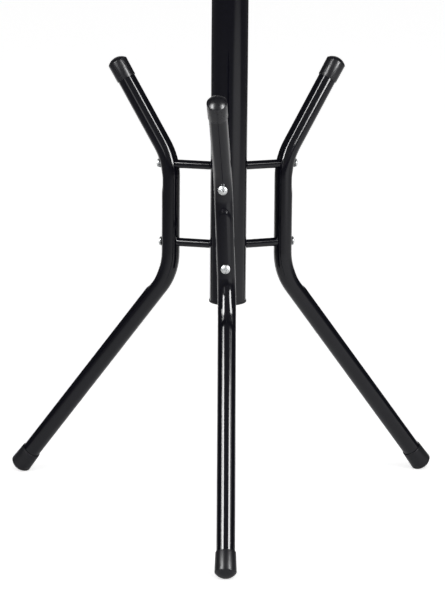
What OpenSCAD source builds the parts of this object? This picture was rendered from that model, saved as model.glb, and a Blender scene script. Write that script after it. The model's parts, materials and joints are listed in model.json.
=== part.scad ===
// Free-standing coat rack in black tube. A round steel pole, screwed together
// from three sections, stands on three bent legs and carries two tiers of bent
// hooks. Legs and hooks are held clear of the pole by welded stand-offs.
// Millimetres, +Z up. The feet rest on z = 0.

/* [Pole] */
// Outer diameter of the pole
pole_d = 38; // [32:1:44]
// Wall of the pole tube
pole_wall = 1.2; // [0.8:0.1:2]
// Length of the lower pole section
pole_lower_len = 500; // [400:5:600]
// Length of the middle pole section
pole_middle_len = 500; // [400:5:600]
// Length of the upper pole section
pole_upper_len = 500; // [460:5:600]
// Drop from the lower leg stand-offs to the pole's lower end
pole_tail = 54; // [30:1:80]

/* [Bent tube] */
// Outer diameter of the leg and hook tubes
tube_d = 19; // [16:0.5:22]
// Wall of the leg and hook tubes
tube_wall = 1.2; // [0.8:0.1:1.6]

/* [Legs] */
// Straight length beside the pole
leg_mid_len = 81; // [70:1:110]
// Centreline radius of both leg bends
leg_bend_r = 62; // [45:1:80]
// Angle of the upper end from vertical
leg_flare_angle = 33.3; // [25:0.1:45]
// Angle of the lower end from vertical
leg_splay_angle = 37.5; // [30:0.1:45]
// Straight length of the upper end
leg_top_len = 96.5; // [60:0.5:140]
// Straight length of the lower end
leg_foot_len = 277; // [220:1:340]
// Height of the lower stand-off above the lower bend
leg_standoff_rise = 11.5; // [6:0.5:20]
// Turn of the front leg about the pole, off its true place
front_leg_swing_angle = -5.2; // [-8:0.1:8]
// Sideways lean of the front leg on its stand-offs
front_leg_lean_angle = 2.3; // [-3:0.1:3]

/* [Hooks] */
// Straight length beside the pole
hook_mid_len = 106; // [100:1:130]
// Angle of the coat end from vertical
hook_flare_angle = 42; // [30:1:60]
// Centreline radius of the coat bend
hook_flare_r = 60; // [45:1:80]
// Straight length of the coat end
hook_flare_len = 92; // [60:1:110]
// Turn of the bag end, from straight down
hook_turn_angle = 140; // [120:1:155]
// Centreline radius of the bag bend
hook_turn_r = 42; // [36:1:48]
// Straight length of the bag end
hook_turn_len = 32; // [24:1:45]
// Height of the upper tier's middle below the pole's top
hook_top_drop = 150; // [130:1:180]
// Height of the lower tier's middle above the upper pole joint
hook_low_rise = 100; // [90:1:140]

/* [Stand-offs] */
// Diameter of a stand-off rod
standoff_d = 9; // [8:0.1:12]
// Clear distance from the pole to a tube
standoff_len = 39.5; // [30:0.5:50]
// Distance between a tube's two stand-offs
standoff_pitch = 84; // [76:1:88]
// Angle at which a stand-off falls towards its tube
standoff_fall_angle = 4; // [0:0.5:6]
// Width of the weld round a stand-off's foot
weld = 1.8; // [1:0.1:2.5]
// How far a rod reaches into the pole
rod_tail = 1.5; // [0.5:0.1:3]

/* [Screws] */
// Thread diameter of the tube screws
screw_d = 5; // [4:0.5:6]
// Head diameter of the tube screws
head_d = 9.6; // [9:0.1:11]
// Side height of a screw head
head_side = 1.5; // [1:0.1:2]
// Crown height of a screw head
head_crown = 1.7; // [1:0.1:2]
// Depth of thread in a stand-off
thread_len = 14; // [8:1:20]

/* [Caps] */
// Wall of an end cap at its open edge
cap_wall = 0.7; // [0.6:0.1:1.5]
// Wall of an end cap at its crown
cap_crown_wall = 0.9; // [0.8:0.1:1.8]
// Length of an end cap from open edge to crown
cap_len = 20; // [14:1:28]
// Height of an end cap's crown
cap_dome = 4.8; // [3:0.1:6]
// Wall of a foot at its open edge
foot_wall = 0.9; // [0.8:0.1:1.6]
// Wall of a foot at its crown
foot_crown_wall = 1.65; // [1.2:0.05:2.5]
// Length of a foot from open edge to crown
foot_len = 21.5; // [16:0.5:28]
// Height of a foot's crown
foot_dome = 6; // [5:0.1:7]
// Depth of the flat that the floor presses into a foot
foot_flat = 0.5; // [0.3:0.1:0.8]
// Thickness behind a crown, where the tube ends
cap_floor = 2; // [1.5:0.1:3]
// Wall of the pole's top cap
top_cap_wall = 1.2; // [1:0.1:2]
// Length of the pole's top cap
top_cap_len = 26; // [18:1:34]
// Height of the top cap's crown
top_cap_dome = 8; // [5:0.5:12]

/* [Plug and joints] */
// Thickness of the bottom plug's rim
plug_rim = 1.6; // [1:0.1:2.5]
// How far the rim stands out past the pole
plug_lip = 0.5; // [0.3:0.1:1]
// Length of the plug inside the pole
plug_len = 16; // [10:1:20]
// Wall of the plug
plug_wall = 1.8; // [1.2:0.1:2.5]
// Length of a plastic insert at a pole joint
insert_len = 32; // [24:1:40]
// Thread diameter of a joint stud
stud_d = 10; // [8:1:12]
// Length of a joint stud
stud_len = 48; // [36:1:60]

/* [Fits] */
// Radial gap between a cap or plug and its tube
cap_gap = 0.1; // [0.05:0.05:0.3]
// Radial gap between a rod and its hole in the pole
rod_gap = 0.1; // [0.05:0.05:0.3]
// Gap between a stand-off's end and its tube
seat_gap = 0.1; // [0.05:0.05:0.3]
// Radial gap between a thread and its hole
thread_gap = 0.1; // [0.05:0.05:0.3]
// Radial gap between a screw and the holes in a tube
hole_gap = 0.3; // [0.2:0.1:0.5]

/* [Hidden] */
$fn = 64;
over = 1; // extra length of a cut past the face it opens
bend_lap = 0.1; // how far a straight reaches into its bend
bend_proud = 0.03; // how far a bend's wall stands out past its straights

// [name, direction from the pole, sideways lean]. Legs stand a third of a turn
// apart, but the front one is welded a little off true. The upper hooks are
// above the legs' true places and the lower hooks are half a step round.
LEGS = [["front", -90 + front_leg_swing_angle, front_leg_lean_angle],
        ["right", 30, 0], ["left", 150, 0]];
UPPER_HOOKS = [["upper_front", -90, 0], ["upper_right", 30, 0], ["upper_left", 150, 0]];
LOWER_HOOKS = [["lower_back", 90, 0], ["lower_right", -30, 0], ["lower_left", 210, 0]];
SIDES = ["low", "high"];

pole_r = pole_d / 2;
pole_bore_r = pole_r - pole_wall;
tube_r = tube_d / 2;
mid_r = pole_r + standoff_len + tube_r; // pole axis to the straight part of a tube
hole_r = screw_d / 2 + hole_gap;

// Feet: the crown is part of a ball, and the floor takes a small flat off it.
foot_rim_r = tube_r + cap_gap + foot_crown_wall;
foot_ball_r = ball_r(foot_rim_r, foot_dome);
foot_rim_z = foot_ball_r - (foot_ball_r - foot_dome) * cos(leg_splay_angle) - foot_flat;

// The collar of weld starts this deep, to stay in the pole's curve all round.
weld_r = standoff_d / 2 + weld;
weld_foot = 3 * (pole_r - sqrt(pole_r * pole_r - weld_r * weld_r));

// Heights
leg_low_z = foot_rim_z + (leg_foot_len + cap_floor) * cos(leg_splay_angle)
    + leg_bend_r * sin(leg_splay_angle);
leg_mid_z = leg_low_z + leg_mid_len / 2;
leg_seats = [leg_low_z + leg_standoff_rise, leg_low_z + leg_standoff_rise + standoff_pitch];
pole_z = leg_seats[0] - pole_tail;
joint_z = [pole_z + pole_lower_len, pole_z + pole_lower_len + pole_middle_len];
pole_top_z = joint_z[1] + pole_upper_len;
upper_hook_z = pole_top_z - hook_top_drop;
lower_hook_z = joint_z[1] + hook_low_rise;

// A bent tube: [height of its middle, straight length, upper end, lower end].
// An end is [bend angle, bend radius, straight length].
LEG = [leg_mid_z, leg_mid_len,
       [leg_flare_angle, leg_bend_r, leg_top_len], [leg_splay_angle, leg_bend_r, leg_foot_len]];
function hook_at(z) = [z, hook_mid_len,
                       [hook_flare_angle, hook_flare_r, hook_flare_len],
                       [hook_turn_angle, hook_turn_r, hook_turn_len]];

// How far a tube's end reaches from the pole's axis, with its cap
function end_reach(end, rim_r) = mid_r + end[1] * (1 - cos(end[0]))
    + (end[2] + cap_floor) * sin(end[0]) + rim_r * abs(cos(end[0]));

// The pole stands behind the middle of its footprint: the front leg reaches
// further forward than the back hook's bag end reaches back.
front_reach = end_reach(LEG[3], foot_rim_r);
back_reach = max(front_reach / 2, end_reach(hook_at(0)[3], tube_r + cap_gap + cap_crown_wall));
pole_y = (front_reach - back_reach) / 2;

function hook_seats(z) = [z - standoff_pitch / 2, z + standoff_pitch / 2];

// Radius of the ball whose slice is a crown of height h on a rim of radius r
function ball_r(r, h) = (r * r + h * h) / (2 * h);

// Distance from the pole axis to a line that runs off to the outside of a
// bent tube's axis, at height z, through its straight middle and upper run
function side_r(tube, z, off) =
    let (flare = tube[2][0], bend_r = tube[2][1],
         rise = z - tube[0] - tube[1] / 2, inner_r = bend_r - off)
    rise <= 0 ? mid_r + off
    : rise <= inner_r * sin(flare) ? mid_r + bend_r - sqrt(inner_r * inner_r - rise * rise)
    : mid_r + bend_r - inner_r * cos(flare) + (rise - inner_r * sin(flare)) * tan(flare);

// Distance out along a screw, from the tube's axis, to where a point of the
// head's underside at distance t from the screw's axis meets the tube
function reach(tube, z, t, guess, tries) =
    let (x = side_r(tube, z, 0) + t * sin(standoff_fall_angle),
         y = z + t * cos(standoff_fall_angle) - guess * sin(standoff_fall_angle),
         s = (side_r(tube, y, tube_r) - x) / cos(standoff_fall_angle))
    tries == 0 ? s : reach(tube, z, t, s, tries - 1);
function head_seat(tube, z) =
    max([for (t = [-1, 0, 1]) reach(tube, z, t * head_d / 2, tube_r, 4)]) + seat_gap / 2;

// Length of a stand-off's line from the tube's axis to radius r round the pole
function line_to(tube, z, r) = (side_r(tube, z, 0) - r) / cos(standoff_fall_angle);

// ---- placing ----

// Origin on the pole's axis, +X out towards a leg or hook. The tube leans
// about its middle, and sinks as far as keeps a leaning leg's foot down.
module stand(spot, tube) {
    sink = (tube[0] - foot_ball_r + foot_flat) * (1 - cos(spot[2]));
    translate([0, pole_y, tube[0] - sink]) rotate([0, 0, spot[1]]) rotate([spot[2], 0, 0])
        translate([0, 0, -tube[0]]) children();
}

// Origin on the tube's axis, +Z out along the screw
module on_screw_line(tube, z) {
    translate([side_r(tube, z, 0), 0, z]) rotate([0, 90 + standoff_fall_angle, 0]) children();
}

// Origin at the end of a tube, +Z out along it
module past_end(end) {
    past_bend(end[0], end[1]) translate([0, 0, end[2]]) children();
}

module past_bend(angle, bend_r) {
    translate([bend_r * (1 - cos(angle)), 0, bend_r * sin(angle)])
        rotate([0, angle, 0]) children();
}

module at_upper_end(tube) {
    translate([mid_r, 0, tube[0] + tube[1] / 2]) past_end(tube[2]) children();
}

module at_lower_end(tube) {
    translate([mid_r, 0, tube[0] - tube[1] / 2]) mirror([0, 0, 1]) past_end(tube[3]) children();
}

// ---- tube ----

module ring(outer_r, inner_r) {
    difference() {
        circle(r = outer_r);
        if (inner_r > 0) circle(r = inner_r);
    }
}

module straight(length, outer_r, inner_r) {
    linear_extrude(length) ring(outer_r, inner_r);
}

// A bend from +Z towards +X and the straight after it. The bend's wall laps
// the straight's ends and stands a hair proud of them.
module tube_end(end, outer_r, inner_r) {
    translate([end[1], 0, 0]) rotate([90, 0, 180]) rotate_extrude(angle = end[0])
        translate([end[1], 0]) ring(outer_r + bend_proud, inner_r - bend_proud);
    past_bend(end[0], end[1]) translate([0, 0, -bend_lap])
        straight(end[2] + bend_lap, outer_r, inner_r);
}

module bent_tube(tube, outer_r, inner_r) {
    translate([mid_r, 0, tube[0] - tube[1] / 2 - bend_lap])
        straight(tube[1] + 2 * bend_lap, outer_r, inner_r);
    translate([mid_r, 0, tube[0] + tube[1] / 2]) tube_end(tube[2], outer_r, inner_r);
    translate([mid_r, 0, tube[0] - tube[1] / 2]) mirror([0, 0, 1])
        tube_end(tube[3], outer_r, inner_r);
}

// ---- sub-parts ----

module drilled_tube(spot, tube, seats) {
    color("#1d1d20") stand(spot, tube) difference() {
        bent_tube(tube, tube_r, tube_r - tube_wall);
        for (z = seats) on_screw_line(tube, z)
            translate([0, 0, -tube_d]) cylinder(h = 2 * tube_d, r = hole_r);
    }
}

// A rod through the pole's wall, welded outside, coped round the tube and
// tapped for the screw
module standoff(spot, tube, z) {
    color("#1d1d20") union() {
        stand(spot, tube) difference() {
            rod_len = line_to(tube, z, pole_bore_r - rod_tail);
            on_screw_line(tube, z) translate([0, 0, -rod_len]) cylinder(h = rod_len, d = standoff_d);
            bent_tube(tube, tube_r + seat_gap, 0);
            on_screw_line(tube, z) translate([0, 0, -tube_r - thread_len - over])
                cylinder(h = tube_r + thread_len + over, r = screw_d / 2 + thread_gap);
        }
        difference() {
            stand(spot, tube) on_screw_line(tube, z)
                translate([0, 0, -line_to(tube, z, pole_r) - weld_foot]) weld_collar();
            translate([0, pole_y, z - pole_d]) cylinder(h = 2 * pole_d, r = pole_r + seat_gap / 2);
        }
    }
}

module weld_collar() {
    intersection() {
        cylinder(h = weld_foot + weld, r1 = weld_r + weld_foot, r2 = standoff_d / 2);
        cylinder(h = weld_foot + weld, r = weld_r);
    }
}

module screw(spot, tube, z) {
    crown_r = ball_r(head_d / 2, head_crown);
    stand(spot, tube) on_screw_line(tube, z) translate([0, 0, head_seat(tube, z)]) {
        cylinder(h = head_side, d = head_d);
        intersection() {
            translate([0, 0, head_side + head_crown - crown_r]) sphere(r = crown_r);
            translate([0, 0, head_side]) cylinder(h = head_crown + over, d = head_d);
        }
        translate([0, 0, -head_seat(tube, z) - tube_r - thread_len])
            cylinder(h = head_seat(tube, z) + tube_r + thread_len, d = screw_d);
    }
}

// A moulded cap: open edge, tapered side, crown. The tube ends at z = 0.
module cap(bore_r, wall, crown_wall, length, dome) {
    rim_r = bore_r + crown_wall;
    color("#2c2c30") difference() {
        union() {
            translate([0, 0, cap_floor - length])
                cylinder(h = length, r1 = bore_r + wall, r2 = rim_r);
            intersection() {
                translate([0, 0, cap_floor + dome - ball_r(rim_r, dome)])
                    sphere(r = ball_r(rim_r, dome));
                translate([0, 0, cap_floor]) cylinder(h = dome + over, r = rim_r);
            }
        }
        translate([0, 0, cap_floor - length - over])
            cylinder(h = length + over - cap_floor + cap_gap, r = bore_r);
    }
}

module end_cap() {
    cap(tube_r + cap_gap, cap_wall, cap_crown_wall, cap_len, cap_dome);
}

module foot() {
    cap(tube_r + cap_gap, foot_wall, foot_crown_wall, foot_len, foot_dome);
}

module leg_foot(spot) {
    difference() {
        stand(spot, LEG) at_lower_end(LEG) foot();
        translate([0, 0, -foot_len]) cube([4 * front_reach, 4 * front_reach, 2 * foot_len], center = true);
    }
}

// A length of pole with a hole for each stand-off rod of the groups on it.
// A group is [spots, tube, seats].
module pole_section(z, length, groups) {
    color("#1d1d20") difference() {
        translate([0, pole_y, z]) straight(length, pole_r, pole_bore_r);
        for (g = groups, spot = g[0], seat = g[2]) stand(spot, g[1]) on_screw_line(g[1], seat)
            translate([0, 0, -line_to(g[1], seat, pole_bore_r - 2 * rod_tail)])
                cylinder(h = pole_wall + 4 * rod_tail, r = standoff_d / 2 + rod_gap);
    }
}

module pole_plug() {
    body_r = pole_bore_r - cap_gap;
    color("#26262a") translate([0, pole_y, pole_z]) difference() {
        union() {
            translate([0, 0, -plug_rim]) cylinder(h = plug_rim, r = pole_r + plug_lip);
            cylinder(h = plug_len, r = body_r);
        }
        cylinder(h = plug_len + over, r = body_r - plug_wall);
    }
}

module pole_top_cap() {
    translate([0, pole_y, pole_top_z])
        cap(pole_r + cap_gap, top_cap_wall, top_cap_wall, top_cap_len, top_cap_dome);
}

// A plastic insert with its face on the joint, reaching down
module joint_insert() {
    color("#26262a") difference() {
        translate([0, 0, -insert_len]) cylinder(h = insert_len, r = pole_bore_r - cap_gap);
        translate([0, 0, -stud_len / 2 - over])
            cylinder(h = stud_len / 2 + 2 * over, r = stud_d / 2 + thread_gap);
    }
}

module joint_piece(part, z) {
    translate([0, pole_y, z]) {
        if (part == "socket") joint_insert();
        if (part == "plug") mirror([0, 0, 1]) joint_insert();
        if (part == "stud") color("#b9bcc0")
            translate([0, 0, -stud_len / 2]) cylinder(h = stud_len, d = stud_d);
    }
}

module screws(spots, tube, seats) {
    color("#b9bcc0") for (spot = spots, z = seats) screw(spot, tube, z);
}

// The bent tube at a spot, its two caps and its two stand-offs
module hook_tier(spots, tube, seats) {
    for (h = spots) {
        drilled_tube(h, tube, seats);
        stand(h, tube) at_upper_end(tube) end_cap();
        stand(h, tube) at_lower_end(tube) end_cap();
        for (i = [0, 1])
            standoff(h, tube, seats[i]);
    }
}

pole_section(pole_z, pole_lower_len, [[LEGS, LEG, leg_seats]]);  // pole_lower
pole_section(joint_z[0], pole_middle_len, []);  // pole_middle
pole_section(joint_z[1], pole_upper_len, [  // pole_upper
        [UPPER_HOOKS, hook_at(upper_hook_z), hook_seats(upper_hook_z)],
        [LOWER_HOOKS, hook_at(lower_hook_z), hook_seats(lower_hook_z)]]);
pole_plug();
pole_top_cap();
for (j = [0, 1], p = ["socket", "plug", "stud"])
    joint_piece(p, joint_z[j]);
for (l = LEGS) {
    drilled_tube(l, LEG, leg_seats);
    leg_foot(l);
    stand(l, LEG) at_upper_end(LEG) end_cap();
    for (i = [0, 1])
        standoff(l, LEG, leg_seats[i]);
}
hook_tier(UPPER_HOOKS, hook_at(upper_hook_z), hook_seats(upper_hook_z));
hook_tier(LOWER_HOOKS, hook_at(lower_hook_z), hook_seats(lower_hook_z));
screws(LEGS, LEG, leg_seats);  // leg_screws
union() {  // hook_screws
    screws(UPPER_HOOKS, hook_at(upper_hook_z), hook_seats(upper_hook_z));
    screws(LOWER_HOOKS, hook_at(lower_hook_z), hook_seats(lower_hook_z));
}
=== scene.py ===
"""Free-standing coat rack in black powder-coated tube, with soft PVC caps.

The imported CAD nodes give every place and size. This script adds what they leave
plain: finishes, rounded cap edges, cross recesses and threads on the screws, weld
beads round the stand-offs, and the dents that the bending die leaves in the legs.
Lengths are in metres.
"""
import json
import math
from collections import namedtuple

import bmesh
import bpy
import numpy as np
from mathutils import Matrix, Vector
from mathutils.geometry import intersect_line_line


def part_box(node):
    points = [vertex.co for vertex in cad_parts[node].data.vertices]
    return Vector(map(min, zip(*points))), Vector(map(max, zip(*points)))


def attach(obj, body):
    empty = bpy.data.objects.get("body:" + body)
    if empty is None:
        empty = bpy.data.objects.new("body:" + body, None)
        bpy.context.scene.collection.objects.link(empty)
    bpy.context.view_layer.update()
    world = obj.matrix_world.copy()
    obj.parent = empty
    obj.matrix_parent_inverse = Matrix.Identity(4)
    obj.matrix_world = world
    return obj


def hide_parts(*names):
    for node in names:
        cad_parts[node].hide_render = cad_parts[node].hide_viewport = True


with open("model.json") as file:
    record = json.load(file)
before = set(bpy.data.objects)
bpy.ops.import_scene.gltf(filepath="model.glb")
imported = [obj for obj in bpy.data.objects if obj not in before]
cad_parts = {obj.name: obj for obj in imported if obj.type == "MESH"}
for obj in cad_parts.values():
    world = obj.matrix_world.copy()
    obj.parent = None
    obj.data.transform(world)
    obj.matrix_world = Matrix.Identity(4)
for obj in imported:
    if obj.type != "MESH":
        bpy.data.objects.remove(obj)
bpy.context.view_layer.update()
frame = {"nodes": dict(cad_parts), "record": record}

NODES = frame["nodes"]
MM = 0.001
SAME = 0.001 * MM    # corners of a CAD mesh that are this near are one
NEAR = 0.01 * MM     # a corner this near to a face's plane lies on it
UP = Vector((0, 0, 1))


# ---- materials ----

def srgb(code):
    """A hex colour as the linear values that a shader socket takes."""
    parts = [int(code[i:i + 2], 16) / 255 for i in (1, 3, 5)]
    return [c / 12.92 if c <= 0.04045 else ((c + 0.055) / 1.055) ** 2.4 for c in parts] + [1.0]


def add(tree, kind, inputs=None, **settings):
    """Adds a node. An input is a value, or an output socket to link from."""
    node = tree.nodes.new(kind)
    for key, value in settings.items():
        setattr(node, key, value)
    for key, value in (inputs or {}).items():
        socket = node.inputs[key]
        if isinstance(value, bpy.types.NodeSocket):
            tree.links.new(value, socket)
        else:
            socket.default_value = value
    return node


def new_material(name):
    made = bpy.data.materials.new(name)
    made.use_nodes = True
    made.node_tree.nodes.clear()
    return made, made.node_tree


def mottle(tree, lump, detail, tones, gloss, grit=0.5):
    """Cloudy lumps of one size, as the tone and the roughness that drift with them."""
    cloud = add(tree, "ShaderNodeTexNoise", {
        "Vector": add(tree, "ShaderNodeTexCoord").outputs["Object"],
        "Scale": 1 / lump, "Detail": detail, "Roughness": grit}).outputs["Fac"]
    tone = add(tree, "ShaderNodeMix", {
        "Factor": cloud, 6: srgb(tones[0]), 7: srgb(tones[1])}, data_type="RGBA")
    # Nearly all of a noise lies between 0.3 and 0.7
    rough = add(tree, "ShaderNodeMapRange", {
        "Value": cloud, "From Min": 0.3, "From Max": 0.7,
        "To Min": gloss[0], "To Max": gloss[1]})
    return {"Base Color": tone.outputs[2], "Roughness": rough.outputs["Result"]}


def relief(tree, lump, detail, strength, depth):
    """A fine unevenness with lumps of one size, as the normal that the light meets."""
    grain = add(tree, "ShaderNodeTexNoise", {
        "Vector": add(tree, "ShaderNodeTexCoord").outputs["Object"],
        "Scale": 1 / lump, "Detail": detail})
    bump = add(tree, "ShaderNodeBump", {
        "Strength": strength, "Distance": depth, "Height": grain.outputs["Fac"]})
    return {"Normal": bump.outputs["Normal"]}


def surface(tree, *looks):
    """Ends a material with one shader that has all the given looks."""
    inputs = {key: value for look in looks for key, value in look.items()}
    shader = add(tree, "ShaderNodeBsdfPrincipled", inputs)
    add(tree, "ShaderNodeOutputMaterial", {"Surface": shader.outputs["BSDF"]})


def powder_coat():
    """Gloss black powder coat, baked on steel tube.

    The eye sees a dark mirror with a slight orange peel, whose gloss drifts slowly.
    """
    made, tree = new_material("black_powder_coat")
    drift = mottle(tree, lump=71.4 * MM, detail=3, tones=("#0b0b14", "#101019"),
                   gloss=(0.09, 0.13))
    peel = relief(tree, lump=2.38 * MM, detail=2, strength=0.02, depth=0.1 * MM)
    surface(tree, drift, peel, {"Specular IOR Level": 0.5})
    return made


def floor_dust(tree, clean, lump, detail, grit):
    """A clean tone with the floor's dust on it: patches that end a few millimetres up."""
    place = add(tree, "ShaderNodeTexCoord").outputs["Object"]
    patches = add(tree, "ShaderNodeTexNoise", {
        "Vector": place, "Scale": 1 / lump, "Detail": detail, "Roughness": grit})
    height = add(tree, "ShaderNodeSeparateXYZ", {"Vector": place})
    low = add(tree, "ShaderNodeMapRange", {
        "Value": height.outputs["Z"], "From Min": 0.0, "From Max": 5 * MM,
        "To Min": 0.5, "To Max": 0.0})
    cover = add(tree, "ShaderNodeMath", {
        0: low.outputs["Result"], 1: patches.outputs["Fac"]}, operation="MULTIPLY")
    dusty = add(tree, "ShaderNodeMix", {
        "Factor": cover.outputs[0], 6: clean, 7: srgb("#4a4947")}, data_type="RGBA")
    return dusty.outputs[2]


def soft_pvc(name, gloss, specular, on_floor=False):
    """Black soft PVC, dip-moulded: a satin skin with a fine mottle."""
    lump, detail, grit = 6.25 * MM, 4, 0.6
    made, tree = new_material(name)
    skin = mottle(tree, lump, detail, ("#1b1b20", "#242429"), gloss, grit)
    if on_floor:
        skin["Base Color"] = floor_dust(tree, skin["Base Color"], lump, detail, grit)
    grain = relief(tree, lump=0.667 * MM, detail=3, strength=0.12, depth=0.2 * MM)
    surface(tree, skin, grain, {"Specular IOR Level": specular})
    return made


def black_nylon():
    """Black nylon, injection-moulded: the dull, even grain of the plug and joints."""
    lump, detail = 1.43 * MM, 2
    made, tree = new_material("black_nylon")
    surface(tree, mottle(tree, lump, detail, tones=("#161618", "#1d1d20"), gloss=(0.45, 0.55)),
            relief(tree, lump, detail, strength=0.1, depth=0.2 * MM))
    return made


def zinc_plate():
    """Bright zinc plate on cold-headed steel: pale metal, blurred and faintly cloudy."""
    made, tree = new_material("bright_zinc_plate")
    cloud = mottle(tree, lump=3.125 * MM, detail=3, tones=("#d9dbdd", "#eceeee"),
                   gloss=(0.3, 0.42))
    grain = relief(tree, lump=0.385 * MM, detail=2, strength=0.15, depth=0.1 * MM)
    surface(tree, cloud, grain, {"Metallic": 1.0})
    return made


COAT = powder_coat()
CAP = soft_pvc("black_soft_pvc", gloss=(0.24, 0.32), specular=0.5)
FOOT = soft_pvc("black_soft_pvc_foot", gloss=(0.28, 0.36), specular=0.35, on_floor=True)
NYLON = black_nylon()
ZINC = zinc_plate()
FINISH = {"black_coat": COAT, "black_cap": CAP, "black_rubber": FOOT,
          "black_plastic": NYLON, "zinc": ZINC}


# ---- reading the CAD nodes ----

Flat = namedtuple("Flat", "area middle normal")


class Solid:
    """One closed piece of a CAD mesh: its corners and its flat faces, largest first."""

    def __init__(self, corners, flats):
        self.corners = np.array(corners)
        self.flats = sorted(flats, key=lambda flat: -flat.area)

    def along(self, origin, axis):
        """Each corner's distance along an axis and its distance from it."""
        offset = self.corners - np.array(origin)
        s = offset @ np.array(axis)
        r = np.linalg.norm(offset - np.outer(s, np.array(axis)), axis=1)
        return s, r


def solids(name):
    """The separate solids of a CAD node, read from a welded copy of its mesh."""
    work = bmesh.new()
    work.from_mesh(NODES[name].data)
    bmesh.ops.remove_doubles(work, verts=work.verts, dist=SAME)
    bmesh.ops.dissolve_limit(work, angle_limit=math.radians(0.2), verts=work.verts,
                             edges=work.edges)
    left, found = set(work.faces), []
    while left:
        reached, queue = set(), [next(f for f in work.faces if f in left)]
        while queue:
            face = queue.pop()
            if face not in reached:
                reached.add(face)
                queue += [near for edge in face.edges for near in edge.link_faces]
        left -= reached
        corners = {v for f in reached for v in f.verts}
        found.append(Solid(
            [v.co.copy() for v in sorted(corners, key=lambda v: v.index)],
            [Flat(f.calc_area(), f.calc_center_median(), f.normal.copy()) for f in reached]))
    work.free()
    return found


# ---- making pieces ----

def new_object(name, mesh):
    made = bpy.data.objects.new(name, mesh)
    bpy.context.scene.collection.objects.link(made)
    return made


def new_mesh(name, corners, faces):
    mesh = bpy.data.meshes.new(name)
    mesh.from_pydata([tuple(c) for c in corners], [], faces)
    return mesh


def as_seen(made):
    """An object's mesh with its modifiers applied."""
    graph = bpy.context.evaluated_depsgraph_get()
    return bpy.data.meshes.new_from_object(made.evaluated_get(graph))


def shade(mesh, sharp):
    """Smooth, apart from edges that turn by more than the given degrees."""
    mesh.shade_smooth()
    mesh.set_sharp_from_angle(angle=math.radians(sharp))


def piece(name, corners, faces, material, sharp=38):
    """A finished piece on the rack's one body, with its faces turned outward."""
    mesh = new_mesh(name, corners, faces)
    mesh.validate()
    work = bmesh.new()
    work.from_mesh(mesh)
    bmesh.ops.remove_doubles(work, verts=work.verts, dist=0.1 * SAME)
    bmesh.ops.recalc_face_normals(work, faces=work.faces)
    work.to_mesh(mesh)
    work.free()
    shade(mesh, sharp)
    mesh.materials.append(material)
    made = new_object(name, mesh)
    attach(made, "root")
    return made


def frame_of(origin, axis):
    """A matrix that puts +Z along the axis."""
    return Matrix.Translation(origin) @ Vector(axis).to_track_quat("Z", "Y").to_matrix().to_4x4()


def lathe(profile, place, sides=64):
    """Turns (distance along, radius) points about the place's +Z."""
    corners, faces, rings = [], [], []
    for s, r in profile:
        if r < SAME:
            rings.append([len(corners)])
            corners.append(place @ Vector((0, 0, s)))
            continue
        rings.append(list(range(len(corners), len(corners) + sides)))
        for i in range(sides):
            a = 2 * math.pi * i / sides
            corners.append(place @ Vector((r * math.cos(a), r * math.sin(a), s)))
    for low, high in zip(rings, rings[1:]):
        for i in range(sides):
            j = (i + 1) % sides
            if len(low) == 1:
                faces.append((low[0], high[i], high[j]))
            elif len(high) == 1:
                faces.append((low[i], high[0], low[j]))
            else:
                faces.append((low[i], high[i], high[j], low[j]))
    return corners, faces


def arc(centre, radius, start, end, steps):
    """(along, radius) points on an arc; angle 0 points out from the axis."""
    angles = [math.radians(start + (end - start) * i / steps) for i in range(steps + 1)]
    return [(centre[0] + radius * math.sin(a), centre[1] + radius * math.cos(a)) for a in angles]


# ---- caps and feet ----

def rounded_cap(name, material, rim_round, lip_round):
    """The CAD cap again, with the rounded rim and lip that a moulding has."""
    solid = solids(name)[0]
    bore_floor = solid.flats[0]
    origin, axis = bore_floor.middle, -bore_floor.normal
    s, r = solid.along(origin, axis)
    lip = s.min()
    at_lip = r[s < lip + NEAR]
    lip_r, bore_r = at_lip.max(), at_lip.min()
    rim_r = r.max()
    rim = s[r > rim_r - SAME].max()
    crown = (s > rim + NEAR) & (solid.corners[:, 2] > NEAR)
    # The crown is part of a ball on the axis: r^2 + s^2 = 2 c s + k
    c2, k = np.linalg.lstsq(
        np.stack([s[crown], np.ones(crown.sum())], 1), r[crown] ** 2 + s[crown] ** 2, rcond=None)[0]
    centre = c2 / 2
    ball = math.sqrt(k + centre ** 2)
    # A fillet that touches the side and the ball from inside
    fillet_r = rim_r - rim_round
    fillet_s = centre + math.sqrt((ball - rim_round) ** 2 - fillet_r ** 2)
    turn = math.degrees(math.atan2(fillet_s - centre, fillet_r))
    dome = arc((centre, 0.0), ball, 90, turn, steps=10)
    dome[0] = (centre + ball, 0.0)
    mouth_deep, mouth_wide = 0.1 * MM, 0.2 * (lip_r - bore_r)
    profile = (
        dome
        + arc((fillet_s, fillet_r), rim_round, turn, 0, steps=5)[1:]
        + arc((lip + lip_round, lip_r - lip_round), lip_round, 0, -90, steps=3)
        + [(lip, bore_r + mouth_wide), (lip + mouth_deep, bore_r), (0.0, bore_r), (0.0, 0.0)]
    )
    corners, faces = lathe(profile, frame_of(origin, axis))
    # A foot's crown is pressed flat where it bears on the floor
    low = solid.corners[:, 2].min()
    for corner in corners:
        corner.z = max(corner.z, low)
    made = piece(name + "_moulded", corners, faces, material)
    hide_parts(name)


for name in sorted(NODES):
    if name == "pole_top_cap" or "_cap_" in name:
        rounded_cap(name, CAP, rim_round=0.9 * MM, lip_round=0.25 * MM)
    elif name.startswith("leg_foot_"):
        rounded_cap(name, FOOT, rim_round=1.1 * MM, lip_round=0.35 * MM)


# ---- screws ----

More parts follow.
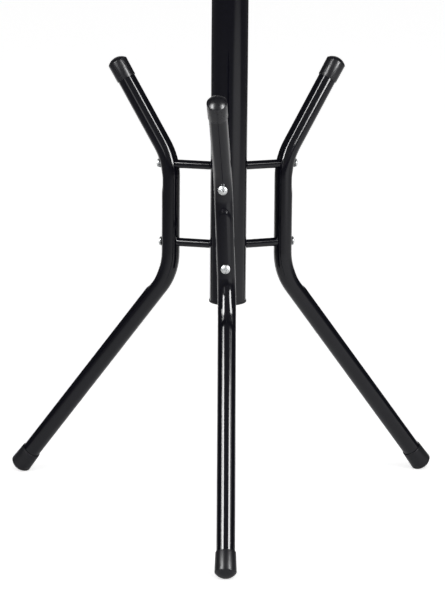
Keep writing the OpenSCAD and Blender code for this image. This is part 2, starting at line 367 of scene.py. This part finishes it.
def thread(length, pitch, major, minor, sides=12):
    """A closed screw thread, from 0 down to about -length, with ends filled to the axis."""
    steps = int(length / pitch) * sides
    # One turn's profile: the drop, as a share of the pitch, and the radius
    profile = ((0.0, minor), (0.25, minor), (0.55, major), (0.7, major))
    corners, faces = [], []
    for k in range(steps + 1):
        a = 2 * math.pi * k / sides
        for drop, r in profile:
            corners.append(Vector((r * math.cos(a), r * math.sin(a), -pitch * (k / sides + drop))))

    def at(k, i):
        return len(profile) * k + i

    for k in range(steps):
        for i in range(3):
            faces.append((at(k, i), at(k, i + 1), at(k + 1, i + 1), at(k + 1, i)))
        below = k + sides
        if below < steps:
            faces.append((at(k, 3), at(below, 0), at(below + 1, 0), at(k + 1, 3)))
    top, bottom, last = len(corners), len(corners) + 1, steps - sides
    corners += [Vector((0, 0, 0)), Vector((0, 0, corners[-1].z))]
    for k in range(sides):
        faces.append((top, at(k, 0), at(k + 1, 0)))
        faces.append((bottom, at(last + k + 1, 3), at(last + k, 3)))
    faces.append((top, at(sides, 0), at(0, 3), at(0, 2), at(0, 1), at(0, 0)))
    faces.append((bottom, at(last, 3), *(at(steps, i) for i in range(4))))
    return corners, faces


def pan_head(shank_r, head_r, head_h, length):
    """The screw's head, seated on z = 0, and its core, which the thread goes round."""
    crown_h, edge_h, corner, top_corner = 1.5 * MM, 0.35 * MM, 0.1 * MM, 0.05 * MM
    core_r, tip_r, tip_h = 0.86 * shank_r, 0.6 * shank_r, 0.8 * MM
    crown_shares = (0.0, 0.2, 0.4, 0.6, 0.8, 0.92)
    ball = (head_r ** 2 + crown_h ** 2) / (2 * crown_h)
    side = head_h - crown_h
    profile = [(head_h - ball + math.sqrt(ball ** 2 - (head_r * t) ** 2), head_r * t)
               for t in crown_shares]
    profile += [(side + corner, head_r - top_corner), (side - edge_h, head_r),
                (corner, head_r), (0.0, head_r - corner), (0.0, core_r),
                (-length + tip_h, core_r), (-length, tip_r), (-length, 0.0)]
    corners, faces = lathe(profile, Matrix.Identity(4), sides=40)
    return new_object("pan_head", new_mesh("pan_head", corners, faces))


def cross_recess(head_h):
    """What the cross recess takes out: two tapered wings."""
    depth, above = 1.9 * MM, 0.5 * MM
    reach_top, reach_floor = 2.744 * MM, 1.029 * MM
    wide_top, wide_floor = 0.55 * MM, 0.35 * MM
    cutter = bmesh.new()
    for turned in (False, True):
        for v in bmesh.ops.create_cube(cutter, size=1.0)["verts"]:
            floor = v.co.z < 0
            x = math.copysign(reach_floor if floor else reach_top, v.co.x)
            y = math.copysign(wide_floor if floor else wide_top, v.co.y)
            z = head_h - depth if floor else head_h + above
            v.co = Vector((y, x, z) if turned else (x, y, z))
    mesh = bpy.data.meshes.new("recess")
    cutter.to_mesh(mesh)
    cutter.free()
    return new_object("recess", mesh)


def screw_template(shank_r, head_r, head_h, length):
    """A pan-head screw with a cross recess, seated on z = 0, and its threaded shank."""
    body, recess = pan_head(shank_r, head_r, head_h, length), cross_recess(head_h)
    cut = body.modifiers.new("recess", "BOOLEAN")
    cut.object, cut.operation, cut.solver, cut.use_self = recess, "DIFFERENCE", "EXACT", True
    made = as_seen(body)
    for used in (body, recess):
        bpy.data.objects.remove(used)
    # The thread is a solid of its own round the core, clear of both of its ends
    pitch, start, unthreaded = 0.8 * MM, Vector((0, 0, -1.6 * MM)), 3 * MM
    work = bmesh.new()
    work.from_mesh(made)
    corners, faces = thread(length - unthreaded, pitch, major=0.985 * shank_r,
                            minor=0.85 * shank_r)
    verts = [work.verts.new(corner + start) for corner in corners]
    for face in faces:
        work.faces.new([verts[i] for i in face])
    work.to_mesh(made)
    work.free()
    shade(made, sharp=32)
    return new_object("screw_template", made)


def screw_placer():
    """A tree that puts the screw on each point, along its 'axis', turned by chance."""
    group = bpy.data.node_groups.new("place_screws", "GeometryNodeTree")
    for name, kind, way in (("Geometry", "NodeSocketGeometry", "INPUT"),
                            ("Screw", "NodeSocketObject", "INPUT"),
                            ("Turn Seed", "NodeSocketInt", "INPUT"),
                            ("Finish", "NodeSocketMaterial", "INPUT"),
                            ("Geometry", "NodeSocketGeometry", "OUTPUT")):
        group.interface.new_socket(name, in_out=way, socket_type=kind)
    given = add(group, "NodeGroupInput")
    axis = add(group, "GeometryNodeInputNamedAttribute", {"Name": "axis"}, data_type="FLOAT_VECTOR")
    aimed = add(group, "FunctionNodeAlignRotationToVector", {
        "Vector": axis.outputs["Attribute"]}, axis="Z")
    # Socket 3 is the largest value that a FLOAT draw may have
    turn = add(group, "FunctionNodeRandomValue", {
        3: 2 * math.pi, "Seed": given.outputs["Turn Seed"]}, data_type="FLOAT")
    spin = add(group, "ShaderNodeCombineXYZ", {"Z": turn.outputs[1]})
    turned = add(group, "FunctionNodeRotateRotation", {
        "Rotation": aimed.outputs["Rotation"], "Rotate By": spin.outputs[0]},
        rotation_space="LOCAL")
    screw = add(group, "GeometryNodeObjectInfo", {"Object": given.outputs["Screw"]})
    placed = add(group, "GeometryNodeInstanceOnPoints", {
        "Points": given.outputs["Geometry"], "Instance": screw.outputs["Geometry"],
        "Rotation": turned.outputs["Rotation"]})
    real = add(group, "GeometryNodeRealizeInstances", {"Geometry": placed.outputs["Instances"]})
    painted = add(group, "GeometryNodeSetMaterial", {
        "Geometry": real.outputs["Geometry"], "Material": given.outputs["Finish"]})
    add(group, "NodeGroupOutput", {"Geometry": painted.outputs["Geometry"]})
    return group


def screw_seats(node_name):
    """Each screw's seat, its axis from tip to head, and the sizes of the usual one."""
    seats, axes, sizes = [], [], []
    smallest_end = 8 * MM ** 2
    for solid in solids(node_name):
        axis = -solid.flats[0].normal
        # The tip and the head's underside both face the way that the tip points
        ends = [flat for flat in solid.flats
                if flat.normal.dot(axis) < -0.99 and flat.area > smallest_end]
        tip = min(ends, key=lambda flat: flat.middle.dot(axis)).middle
        under_head = max(ends, key=lambda flat: flat.middle.dot(axis)).middle
        s, r = solid.along(tip, axis)
        length = (under_head - tip).dot(axis)
        seats.append(tip + axis * length)
        axes.append(axis)
        sizes.append((r[s < NEAR].max(), r.max(), s.max() - length, length))
    return seats, axes, np.median(np.array(sizes), axis=0)


def detailed_screws(node_name, group, seed):
    """The CAD screws again, each with its cross recess and its thread."""
    seats, axes, sizes = screw_seats(node_name)
    template = screw_template(*sizes)
    mesh = new_mesh(node_name + "_seats", seats, [])
    mesh.attributes.new("axis", "FLOAT_VECTOR", "POINT").data.foreach_set(
        "vector", [c for axis in axes for c in axis])
    made = new_object(node_name + "_detailed", mesh)
    modifier = made.modifiers.new("screws", "NODES")
    modifier.node_group = group
    keys = {item.name: item.identifier for item in group.interface.items_tree
            if getattr(item, "in_out", "") == "INPUT"}
    modifier[keys["Screw"]] = template
    modifier[keys["Turn Seed"]] = seed
    modifier[keys["Finish"]] = ZINC
    plain = as_seen(made)
    plain.name = node_name + "_detailed"
    made.modifiers.clear()
    made.data = plain
    bpy.data.objects.remove(template)
    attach(made, "root")
    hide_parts(node_name)


PLACER = screw_placer()
detailed_screws("leg_screws", PLACER, seed=3)
detailed_screws("hook_screws", PLACER, seed=8)


# ---- weld beads ----

def weld_bead(name, pole_axis, pole_r, rng):
    """A bead of laid weld round the foot of a stand-off, following the pole."""
    fat, ripple, swell = 1.45 * MM, 0.16 * MM, 0.1 * MM
    ripples, swells = 13, 3
    lift, flattened = 0.1 * MM, 0.92
    around, across = 72, 10
    smallest_end = 30 * MM ** 2
    solid = solids(name)[0]
    out = Vector((*(solid.corners.mean(0)[:2] - pole_axis), 0)).normalized()
    tail = next(flat for flat in solid.flats
                if flat.area > smallest_end and flat.normal.dot(out) < -0.9)
    axis, origin = -tail.normal, tail.middle
    s, r = solid.along(origin, axis)
    rod_r = r[s < 10 * NEAR].max()
    side = axis.cross(UP).normalized()
    up = side.cross(axis).normalized()
    phase = rng.uniform(0, 2 * math.pi)
    corners, faces = [], []
    for i in range(around):
        a = 2 * math.pi * i / around
        radial = side * math.cos(a) + up * math.sin(a)
        on_rod = origin + radial * rod_r
        # Where the rod's side meets the pole, seen from above
        seen, way = Vector((on_rod.x - pole_axis[0], on_rod.y - pole_axis[1])), axis.xy
        p, q = way.dot(seen) / way.dot(way), (seen.dot(seen) - pole_r ** 2) / way.dot(way)
        root = on_rod + axis * (math.sqrt(p * p - q) - p)
        normal = Vector((root.x - pole_axis[0], root.y - pole_axis[1], 0)).normalized()
        outward = (radial - normal * radial.dot(normal)).normalized()
        thick = flattened * (fat + ripple * math.sin(ripples * a + phase)
                             + swell * math.sin(swells * a + 2 * phase))
        for j in range(across):
            b = 2 * math.pi * j / across
            corners.append(root + outward * lift
                           + (outward * math.cos(b) + axis * math.sin(b)) * thick)
        k = (i + 1) % around
        for j in range(across):
            m = (j + 1) % across
            faces.append((i * across + j, k * across + j, k * across + m, i * across + m))
    return corners, faces


def weld_beads(name, prefix, seed):
    """One piece with the beads of all the stand-offs whose names start with the prefix."""
    low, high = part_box("pole_middle")
    pole_axis = np.array([(low.x + high.x) / 2, (low.y + high.y) / 2])
    pole_r = (high.x - low.x) / 2
    rng = np.random.default_rng(seed)
    corners, faces = [], []
    for node in sorted(n for n in NODES if n.startswith(prefix)):
        more, rings = weld_bead(node, pole_axis, pole_r, rng)
        faces += [tuple(i + len(corners) for i in f) for f in rings]
        corners += more
    piece(name, corners, faces, COAT, sharp=60)


weld_beads("leg_weld_beads", "leg_standoff_", seed=5)
weld_beads("hook_weld_beads", "hook_standoff_", seed=6)


# ---- the legs' bends ----

def middle_run(tube):
    """The way down a leg's middle run and its two ends, from its parallel long edges."""
    long_edge, parallel = 30 * MM, 2e-4
    runs = []
    for edge in tube.edges:
        low, high = sorted((v.co for v in edge.verts), key=lambda c: c.z)
        if (high - low).length < long_edge:
            continue
        down = (low - high).normalized()
        for known, ends in runs:
            if known.cross(down).length < parallel:
                ends += [low, high]
                break
        else:
            runs.append((down, [low, high]))
    down, ends = max(runs, key=lambda run: len(run[1]))
    reach = [end.dot(down) for end in ends]
    middle = sum(ends, Vector()) / len(ends)
    start = middle - down * middle.dot(down)
    return down, start + down * min(reach), start + down * max(reach)


def end_line(name):
    """The line of a tube's end, outward, from the floor of its cap's bore."""
    bore_floor = solids(name)[0].flats[0]
    return bore_floor.middle, -bore_floor.normal


def meet(first, way, second, other):
    """Where two lines in one plane meet."""
    a, b = intersect_line_line(first, first + way, second, second + other)
    return (a + b) / 2


def smooth(x):
    x = min(max(x, 0.0), 1.0)
    return x * x * (3 - 2 * x)


def press_bend(tube, corner, way_in, down, length, start, depth):
    """Presses in the inner side of a bend where the bending die's groove ends.

    The bend's straight ways meet at the corner, `length` from its ends. The dent
    grows from `start` before the bend's lower end and stops past it at a step, up
    to the full tube again, which runs lower at the sides.
    """
    # Past the bend's lower end: where the dent is full, where its step starts in the
    # middle of the inner side, the step's length, and how much lower it runs at the sides
    full, step_top, step_long, sag = 2 * MM, 6.5 * MM, 5 * MM, 26 * MM
    # Round the tube, the dent fades out over the edge's width, up to the edge
    edge_at, edge_wide = math.radians(80), math.radians(70)
    slice_h, cut_reach, press_reach = 1.25 * MM, 45 * MM, 50 * MM
    join = corner + down * length
    across = way_in.cross(down).normalized()
    centre = Vector(np.linalg.solve(
        np.array([way_in, down, across]),
        np.array([corner.dot(way_in) - length, join.dot(down), join.dot(across)])))
    bend_r = (centre - join).length
    inward = (centre - join).normalized()

    # Fine slices across the tube, to carry the dent
    for s in np.arange(-start, step_top + step_long + sag, slice_h).tolist():
        turned = Matrix.Rotation(-min(s, 0) / bend_r, 3, across).transposed()
        place = centre - turned @ inward * bend_r + down * max(s, 0)
        near = [f for f in tube.faces if any((v.co - join).length < cut_reach for v in f.verts)]
        bmesh.ops.bisect_plane(
            tube, geom=list({x for f in near for x in [f, *f.edges, *f.verts]}),
            dist=SAME, plane_co=place, plane_no=turned @ down)

    for vert in tube.verts:
        offset = vert.co - join
        if offset.length > press_reach:
            continue
        s, toward = offset.dot(down), inward
        if s < 0:
            spoke = vert.co - centre
            spoke -= across * spoke.dot(across)
            toward = -spoke.normalized()
            s = -bend_r * toward.angle(inward)
            offset = vert.co - (centre - toward * bend_r)
        around = math.atan2(abs(offset.dot(across)), offset.dot(toward))
        grown = smooth((s + start) / (start + full))
        stepped = 1 - (s - step_top - sag * (1 - math.cos(around))) / step_long
        share = min(grown, min(max(stepped, 0.0), 1.0)) * smooth((edge_at - around) / edge_wide)
        vert.co -= toward * depth * share


def pressed_leg(spot):
    """The CAD leg again, with the dent in each of its bends."""
    name = "leg_" + spot
    tube = bmesh.new()
    tube.from_mesh(NODES[name].data)
    bmesh.ops.remove_doubles(tube, verts=tube.verts, dist=SAME)
    bmesh.ops.join_triangles(tube, faces=tube.faces, angle_face_threshold=math.radians(0.5),
                             angle_shape_threshold=math.pi)
    down, top, bottom = middle_run(tube)
    cap, flare = end_line("leg_cap_" + spot)
    foot, splay = end_line("leg_foot_" + spot)
    upper, lower = meet(top, down, cap, flare), meet(top, down, foot, splay)
    press_bend(tube, upper, -flare, down, (upper - top).length, start=8 * MM, depth=1.0 * MM)
    press_bend(tube, lower, down, splay, (lower - bottom).length, start=18 * MM, depth=1.2 * MM)
    tube.verts.index_update()
    made = piece(name + "_pressed", [v.co for v in tube.verts],
                 [[v.index for v in f.verts] for f in tube.faces], COAT)
    tube.free()
    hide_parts(name)


for spot in ("front", "left", "right"):
    pressed_leg(spot)


# ---- finishes on the CAD nodes that stay ----

SLOT_OF = {s["node"]: s["material_slot"] for s in frame["record"]["subparts"]}
for name, node in NODES.items():
    node.data.materials.clear()
    node.data.materials.append(FINISH[SLOT_OF[name]])


# ---- camera ----

POLE_LOW, POLE_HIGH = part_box("pole_lower")
POLE_X, POLE_Y = (POLE_LOW.x + POLE_HIGH.x) / 2, (POLE_LOW.y + POLE_HIGH.y) / 2
AWAY, HEIGHT = 4.5, 1.4335      # from the pole's axis, and above the floor
SWING = math.radians(2.5)       # to the left of straight in front
# Radians down, to the left of the pole, and over to one side
TILT, TURN, ROLL = 0.2628, 0.0012, 0.0080
camera = new_object("camera", bpy.data.cameras.new("camera"))
bpy.context.scene.camera = camera
camera.data.lens = 267.34
camera.data.sensor_width = 36.0
camera.data.clip_start, camera.data.clip_end = 0.1, 200.0
camera.location = (POLE_X - AWAY * math.sin(SWING), POLE_Y - AWAY * math.cos(SWING), HEIGHT)
camera.rotation_mode = "QUATERNION"
camera.rotation_quaternion = (
    Matrix.Rotation(-SWING + TURN, 3, "Z") @ Matrix.Rotation(math.pi / 2 - TILT, 3, "X")
    @ Matrix.Rotation(ROLL, 3, "Z")).to_quaternion()


# ---- light and background ----

LEGS = Vector((0, 0, 0.3))    # what the lights face

# Name, low end, high end, width, radiance, and whether it is mirrored.
# Mirrored ones show only in reflections, as bright as a real softbox. The others
# light colours at a plain level and don't show in reflections.
PANELS = (
    ("softbox_right", (1.25, -1.48, 0.55), (1.20, -0.86, 1.66), 0.62, 21, True),
    ("softbox_left", (-1.45, -1.45, 0.85), (-1.27, -0.81, 1.87), 0.62, 23, True),
    ("grey_card", (-1.15, -1.90, 0.35), (-1.15, -1.90, 0.80), 0.45, 1.7, True),
    ("strip_left", (-1.60, -0.62, 1.12), (-1.60, -0.42, 1.52), 0.16, 22, True),
    ("strip_right", (1.60, -0.62, 1.12), (1.60, -0.42, 1.52), 0.16, 6, True),
    ("plain_right", (1.5, -1.9, 1.0), (1.4, -1.0, 2.4), 1.6, 2.2, False),
    ("plain_left", (-1.5, -1.9, 1.0), (-1.4, -1.0, 2.4), 1.6, 1.8, False),
)


def lit_panel(name, low, high, width, radiance, mirrored):
    """An area light from its low end to its high end, facing the legs."""
    low, high = Vector(low), Vector(high)
    middle = (low + high) / 2
    along = (high - low).normalized()
    across = along.cross((middle - LEGS).normalized()).normalized()
    lamp = bpy.data.lights.new(name, "AREA")
    lamp.shape = "RECTANGLE"
    lamp.size, lamp.size_y = width, (high - low).length
    lamp.energy = radiance * math.pi * lamp.size * lamp.size_y
    made = new_object(name, lamp)
    made.matrix_world = Matrix.Translation(middle) @ Matrix(
        (across, along, across.cross(along))).transposed().to_4x4()
    made.visible_glossy, made.visible_diffuse = mirrored, not mirrored


def white_world():
    """White to look at. Reflections see a bright wall straight behind and a dim room."""
    plain_light = 0.35
    world = bpy.data.worlds.new("studio")
    bpy.context.scene.world = world
    world.use_nodes = True
    tree = world.node_tree
    tree.nodes.clear()
    path = add(tree, "ShaderNodeLightPath")
    # Y is 1 straight behind the rack and -1 straight in front of it
    way = add(tree, "ShaderNodeSeparateXYZ", {
        "Vector": add(tree, "ShaderNodeTexCoord").outputs["Generated"]})
    wall = add(tree, "ShaderNodeMapRange", {
        "Value": way.outputs["Y"], "From Min": 0.90, "From Max": 0.96, "To Min": 0.0,
        "To Max": 0.8})
    room = add(tree, "ShaderNodeMapRange", {
        "Value": way.outputs["Y"], "From Min": 0.2, "From Max": -0.9, "To Min": 0.04,
        "To Max": 0.23})
    mirrored = add(tree, "ShaderNodeMath", {
        0: wall.outputs["Result"], 1: room.outputs["Result"]}, operation="MAXIMUM")
    shown = add(tree, "ShaderNodeMath", {
        0: path.outputs["Is Glossy Ray"], 1: path.outputs["Is Transmission Ray"]},
        operation="MAXIMUM")
    unseen = add(tree, "ShaderNodeMix", {
        "Factor": shown.outputs[0], 2: plain_light, 3: mirrored.outputs[0]}, data_type="FLOAT")
    strength = add(tree, "ShaderNodeMath", {
        0: unseen.outputs[0], 1: path.outputs["Is Camera Ray"]}, operation="MAXIMUM")
    glow = add(tree, "ShaderNodeBackground", {
        "Color": srgb("#ffffff"), "Strength": strength.outputs[0]})
    add(tree, "ShaderNodeOutputWorld", {"Surface": glow.outputs[0]})


def painted_light_patch(tree, place, near, far, bright, dim=0.0):
    """A painted pool of light: a level that falls from bright to dim between two distances from a
    place.
    """
    offset = add(tree, "ShaderNodeVectorMath", {
        0: add(tree, "ShaderNodeTexCoord").outputs["Object"], 1: (*place, 0)},
        operation="DISTANCE")
    return add(tree, "ShaderNodeMapRange", {
        "Value": offset.outputs["Value"], "From Min": near, "From Max": far,
        "To Min": bright, "To Max": dim}, interpolation_type="SMOOTHSTEP").outputs["Result"]


def white_floor():
    """White paper that glows for the camera, and keeps the rack's shadow.

    Reflections see painted light on it: its colour is raised in pools round the rack, to the right
    and behind, and darker further off.
    """
    half, camera_glow = 60.0, 0.63
    made, tree = new_material("paper_floor")
    path = add(tree, "ShaderNodeLightPath")
    # Painted light for reflections: the paper's colour is scaled up in pools and down far from them
    mirrored = painted_light_patch(tree, (0.5, -0.1), near=0.35, far=1.8, bright=1.15, dim=0.27)
    for patch in (painted_light_patch(tree, (1.5, -1.35), near=0.6, far=1.35, bright=1.3),
                  painted_light_patch(tree, (0.0, 1.2), near=0.75, far=1.3, bright=2.3)):
        mirrored = add(tree, "ShaderNodeMath", {
            0: mirrored, 1: patch}, operation="MAXIMUM").outputs[0]
    level = add(tree, "ShaderNodeMix", {
        "Factor": path.outputs["Is Glossy Ray"], 2: 1.0, 3: mirrored}, data_type="FLOAT")
    colour = add(tree, "ShaderNodeVectorMath", {
        0: srgb("#f4f4f4")[:3], "Scale": level.outputs[0]}, operation="SCALE")
    paper = add(tree, "ShaderNodeBsdfDiffuse", {"Color": colour.outputs["Vector"]})
    shown = add(tree, "ShaderNodeMath", {
        0: path.outputs["Is Camera Ray"], 1: camera_glow}, operation="MULTIPLY")
    glow = add(tree, "ShaderNodeEmission", {
        "Color": srgb("#ffffff"), "Strength": shown.outputs[0]})
    both = add(tree, "ShaderNodeAddShader", {0: paper.outputs[0], 1: glow.outputs[0]})
    add(tree, "ShaderNodeOutputMaterial", {"Surface": both.outputs[0]})
    mesh = new_mesh("floor", [(-half, -half, 0), (half, -half, 0), (half, half, 0),
                              (-half, half, 0)], [(0, 1, 2, 3)])
    mesh.materials.append(made)
    new_object("floor", mesh)


for panel in PANELS:
    lit_panel(*panel)
white_world()
white_floor()
bpy.context.scene.view_settings.view_transform = "Standard"
